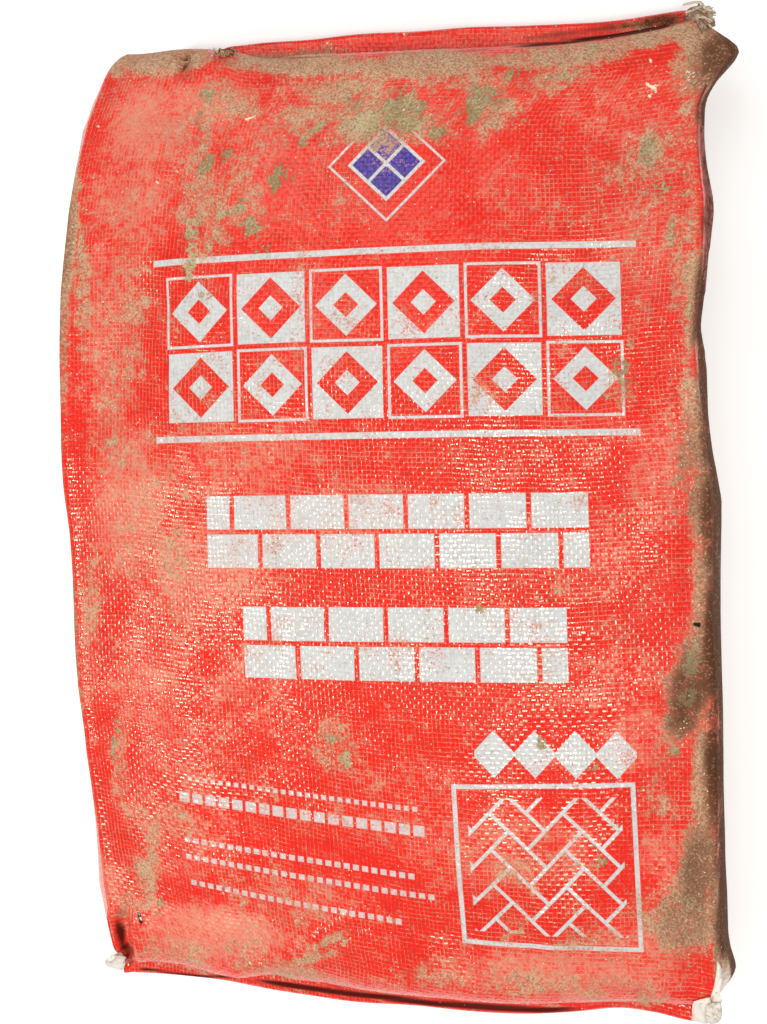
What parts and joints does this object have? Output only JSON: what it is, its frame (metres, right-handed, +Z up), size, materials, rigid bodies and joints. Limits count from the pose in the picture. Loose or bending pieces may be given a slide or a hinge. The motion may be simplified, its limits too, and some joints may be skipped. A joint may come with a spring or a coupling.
{
  "type": "bag of tile adhesive",
  "caption": "Filled woven plastic sack of powdered tile adhesive with side gussets, lying flat, its ends folded under into sewn hems",
  "frame": {"origin": "on the floor under the middle of the sack's box", "axes": "+X across the sack, +Y along it from the bottom hem to the top hem, +Z up out of its printed face"},
  "size_m": [0.4274, 0.6144, 0.095],
  "materials": {
    "printed_cloth": "laminated woven tape cloth, printed red, dusty",
    "adhesive_powder": "fine grey powder, packed",
    "closing_thread": "twisted off-white thread"
  },
  "bodies": {
    "root": {"woven_sack": "printed_cloth", "adhesive_fill": "adhesive_powder", "top_closing_thread": "closing_thread", "bottom_closing_thread": "closing_thread"}
  },
  "joints": []
}
